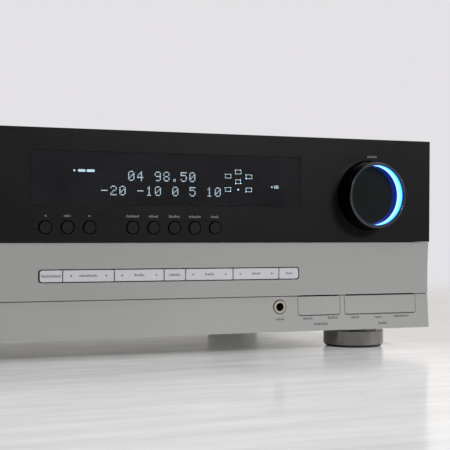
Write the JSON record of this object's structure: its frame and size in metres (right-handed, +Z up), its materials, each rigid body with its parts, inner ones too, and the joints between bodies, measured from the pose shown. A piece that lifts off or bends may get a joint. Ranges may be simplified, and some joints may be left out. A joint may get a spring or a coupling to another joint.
{
  "type": "stereo receiver",
  "caption": "Low wide audio and video receiver with a black over silver front, a lit recessed volume knob, round buttons, a row of bar keys, drop-down jack doors and round feet.",
  "frame": {"origin": "centre of the footprint at floor level, under the middle of the bounding box", "axes": "+X to the right seen from the front, +Y from the front panels to the rear panel, +Z up"},
  "size_m": [0.44, 0.382, 0.165],
  "materials": {
    "cover_steel": "fine textured black paint",
    "black_zinc": "black zinc",
    "chassis_steel": "zinc plated sheet",
    "rear_panel_paint": "matte black paint",
    "subframe_plastic": "moulded",
    "black_panel": "satin black, very fine grain",
    "silver_panel": "fine metallic silver paint, satin",
    "display_lens": "smoked clear acrylic, polished",
    "foot_metal": "satin silver",
    "foot_rubber": "moulded",
    "knob_metal": "dark satin anodised",
    "knob_disc": "polished black",
    "bright_steel": "bright",
    "key_plastic": "light silver, satin",
    "natural_plastic": "moulded",
    "black_button": "satin black",
    "jack_metal": "nickel plated",
    "jack_plastic": "moulded",
    "circuit_board": "green solder mask",
    "display_glass": "vacuum fluorescent display glass",
    "transformer_core": "varnished laminations",
    "capacitor_sleeve": "shrink sleeve",
    "heatsink_aluminium": "plain extruded",
    "transistor_epoxy": "moulded",
    "red_cap": "moulded",
    "black_cap": "moulded",
    "light_ring": "translucent, lit from behind"
  },
  "bodies": {
    "cabinet": {"top_cover": "cover_steel", "cover_screws": "black_zinc", "bottom_chassis": "chassis_steel", "rear_panel": "rear_panel_paint", "front_subframe": "subframe_plastic", "fascia_upper": "black_panel", "fascia_lower": "silver_panel", "display_window": "display_lens", "feet": "foot_metal", "foot_pads": "foot_rubber", "volume_encoder": "bright_steel", "headphone_jack": "jack_metal", "front_input_jacks": "jack_plastic", "front_control_board": "circuit_board", "vfd_display": "display_glass", "power_transformer": "transformer_core", "filter_capacitors": "capacitor_sleeve", "power_supply_board": "circuit_board", "heatsink": "heatsink_aluminium", "power_transistors": "transistor_epoxy", "amplifier_board": "circuit_board", "main_board": "circuit_board", "tuner_module": "bright_steel", "rear_signal_jacks": "jack_plastic", "speaker_terminals": "jack_plastic", "power_inlet": "jack_plastic"},
    "volume_knob": {"volume_knob_ring": "knob_metal", "volume_knob_core": "knob_disc", "volume_light_ring": "light_ring", "encoder_shaft": "bright_steel"},
    "power_button": {"power_button": "key_plastic", "power_pushrod": "natural_plastic"},
    "standby_button": {"standby_button": "black_button"},
    "digital_input_door": {"digital_input_door": "silver_panel"},
    "video_input_door": {"video_input_door": "silver_panel"},
    "set_left_button": {"set_left_button": "black_button"},
    "set_button": {"set_button": "black_button"},
    "set_right_button": {"set_right_button": "black_button"},
    "tone_mode_button": {"tone_mode_button": "black_button"},
    "speaker_button": {"speaker_button": "black_button"},
    "channel_button": {"channel_button": "black_button"},
    "digital_select_button": {"digital_select_button": "black_button"},
    "delay_button": {"delay_button": "black_button"},
    "surround_mode_key": {"surround_mode_key": "key_plastic"},
    "surround_select_key": {"surround_select_key": "key_plastic"},
    "tuning_key": {"tuning_key": "key_plastic"},
    "band_key": {"band_key": "key_plastic"},
    "preset_key": {"preset_key": "key_plastic"},
    "source_key": {"source_key": "key_plastic"},
    "display_mode_key": {"display_mode_key": "key_plastic"},
    "front_left_plus_cap": {"front_left_plus_cap": "red_cap"},
    "front_left_minus_cap": {"front_left_minus_cap": "black_cap"},
    "front_right_plus_cap": {"front_right_plus_cap": "red_cap"},
    "front_right_minus_cap": {"front_right_minus_cap": "black_cap"},
    "centre_plus_cap": {"centre_plus_cap": "red_cap"},
    "centre_minus_cap": {"centre_minus_cap": "black_cap"},
    "surround_left_plus_cap": {"surround_left_plus_cap": "red_cap"},
    "surround_left_minus_cap": {"surround_left_minus_cap": "black_cap"},
    "surround_right_plus_cap": {"surround_right_plus_cap": "red_cap"},
    "surround_right_minus_cap": {"surround_right_minus_cap": "black_cap"}
  },
  "joints": [
    {"name": "volume_turn", "type": "hinge", "parent": "cabinet", "child": "volume_knob", "pos_m": [0.1623, -0.191, 0.121], "axis": [0, 1, 0], "continuous": true},
    {"name": "digital_input_door_hinge", "type": "hinge", "parent": "cabinet", "child": "digital_input_door", "pos_m": [0.1202, -0.1726, 0.0306], "axis": [1, 0, 0], "range_deg": [0, 90]},
    {"name": "video_input_door_hinge", "type": "hinge", "parent": "cabinet", "child": "video_input_door", "pos_m": [0.1755, -0.1726, 0.0306], "axis": [1, 0, 0], "range_deg": [0, 90]},
    {"name": "power_press", "type": "slide", "parent": "cabinet", "child": "power_button", "axis": [0, 1, 0], "range_m": [0, 0.003], "stiffness_N_per_m": 800, "springref_m": -0.001},
    {"name": "standby_press", "type": "slide", "parent": "cabinet", "child": "standby_button", "axis": [0, 1, 0], "range_m": [0, 0.0006], "stiffness_N_per_m": 1500, "springref_m": -0.0003},
    {"name": "set_left_press", "type": "slide", "parent": "cabinet", "child": "set_left_button", "axis": [0, 1, 0], "range_m": [0, 0.0006], "stiffness_N_per_m": 1500, "springref_m": -0.0003},
    {"name": "set_press", "type": "slide", "parent": "cabinet", "child": "set_button", "axis": [0, 1, 0], "range_m": [0, 0.0006], "stiffness_N_per_m": 1500, "springref_m": -0.0003},
    {"name": "set_right_press", "type": "slide", "parent": "cabinet", "child": "set_right_button", "axis": [0, 1, 0], "range_m": [0, 0.0006], "stiffness_N_per_m": 1500, "springref_m": -0.0003},
    {"name": "tone_mode_press", "type": "slide", "parent": "cabinet", "child": "tone_mode_button", "axis": [0, 1, 0], "range_m": [0, 0.0006], "stiffness_N_per_m": 1500, "springref_m": -0.0003},
    {"name": "speaker_press", "type": "slide", "parent": "cabinet", "child": "speaker_button", "axis": [0, 1, 0], "range_m": [0, 0.0006], "stiffness_N_per_m": 1500, "springref_m": -0.0003},
    {"name": "channel_press", "type": "slide", "parent": "cabinet", "child": "channel_button", "axis": [0, 1, 0], "range_m": [0, 0.0006], "stiffness_N_per_m": 1500, "springref_m": -0.0003},
    {"name": "digital_select_press", "type": "slide", "parent": "cabinet", "child": "digital_select_button", "axis": [0, 1, 0], "range_m": [0, 0.0006], "stiffness_N_per_m": 1500, "springref_m": -0.0003},
    {"name": "delay_press", "type": "slide", "parent": "cabinet", "child": "delay_button", "axis": [0, 1, 0], "range_m": [0, 0.0006], "stiffness_N_per_m": 1500, "springref_m": -0.0003},
    {"name": "surround_mode_press", "type": "slide", "parent": "cabinet", "child": "surround_mode_key", "axis": [0, 1, 0], "range_m": [0, 0.0006], "stiffness_N_per_m": 1500, "springref_m": -0.0003},
    {"name": "surround_select_rock", "type": "hinge", "parent": "cabinet", "child": "surround_select_key", "pos_m": [-0.0671, -0.1659, 0.06075], "axis": [0, 0, 1], "range_deg": [-1.2, 1.2], "stiffness_Nm_per_rad": 1.3},
    {"name": "tuning_rock", "type": "hinge", "parent": "cabinet", "child": "tuning_key", "pos_m": [-0.0285, -0.1659, 0.06075], "axis": [0, 0, 1], "range_deg": [-1.2, 1.2], "stiffness_Nm_per_rad": 1.3},
    {"name": "band_press", "type": "slide", "parent": "cabinet", "child": "band_key", "axis": [0, 1, 0], "range_m": [0, 0.0006], "stiffness_N_per_m": 1500, "springref_m": -0.0003},
    {"name": "preset_rock", "type": "hinge", "parent": "cabinet", "child": "preset_key", "pos_m": [0.0271, -0.1659, 0.06075], "axis": [0, 0, 1], "range_deg": [-1.2, 1.2], "stiffness_Nm_per_rad": 1.3},
    {"name": "source_rock", "type": "hinge", "parent": "cabinet", "child": "source_key", "pos_m": [0.0657, -0.1659, 0.06075], "axis": [0, 0, 1], "range_deg": [-1.2, 1.2], "stiffness_Nm_per_rad": 1.3},
    {"name": "display_mode_press", "type": "slide", "parent": "cabinet", "child": "display_mode_key", "axis": [0, 1, 0], "range_m": [0, 0.0006], "stiffness_N_per_m": 1500, "springref_m": -0.0003},
    {"name": "front_left_plus_turn", "type": "hinge", "parent": "cabinet", "child": "front_left_plus_cap", "pos_m": [-0.152, 0.18, 0.064], "axis": [0, -1, 0], "range_deg": [0, 1080]},
    {"name": "front_left_minus_turn", "type": "hinge", "parent": "cabinet", "child": "front_left_minus_cap", "pos_m": [-0.152, 0.18, 0.038], "axis": [0, -1, 0], "range_deg": [0, 1080]},
    {"name": "front_right_plus_turn", "type": "hinge", "parent": "cabinet", "child": "front_right_plus_cap", "pos_m": [-0.128, 0.18, 0.064], "axis": [0, -1, 0], "range_deg": [0, 1080]},
    {"name": "front_right_minus_turn", "type": "hinge", "parent": "cabinet", "child": "front_right_minus_cap", "pos_m": [-0.128, 0.18, 0.038], "axis": [0, -1, 0], "range_deg": [0, 1080]},
    {"name": "centre_plus_turn", "type": "hinge", "parent": "cabinet", "child": "centre_plus_cap", "pos_m": [-0.104, 0.18, 0.064], "axis": [0, -1, 0], "range_deg": [0, 1080]},
    {"name": "centre_minus_turn", "type": "hinge", "parent": "cabinet", "child": "centre_minus_cap", "pos_m": [-0.104, 0.18, 0.038], "axis": [0, -1, 0], "range_deg": [0, 1080]},
    {"name": "surround_left_plus_turn", "type": "hinge", "parent": "cabinet", "child": "surround_left_plus_cap", "pos_m": [-0.08, 0.18, 0.064], "axis": [0, -1, 0], "range_deg": [0, 1080]},
    {"name": "surround_left_minus_turn", "type": "hinge", "parent": "cabinet", "child": "surround_left_minus_cap", "pos_m": [-0.08, 0.18, 0.038], "axis": [0, -1, 0], "range_deg": [0, 1080]},
    {"name": "surround_right_plus_turn", "type": "hinge", "parent": "cabinet", "child": "surround_right_plus_cap", "pos_m": [-0.056, 0.18, 0.064], "axis": [0, -1, 0], "range_deg": [0, 1080]},
    {"name": "surround_right_minus_turn", "type": "hinge", "parent": "cabinet", "child": "surround_right_minus_cap", "pos_m": [-0.056, 0.18, 0.038], "axis": [0, -1, 0], "range_deg": [0, 1080]}
  ]
}
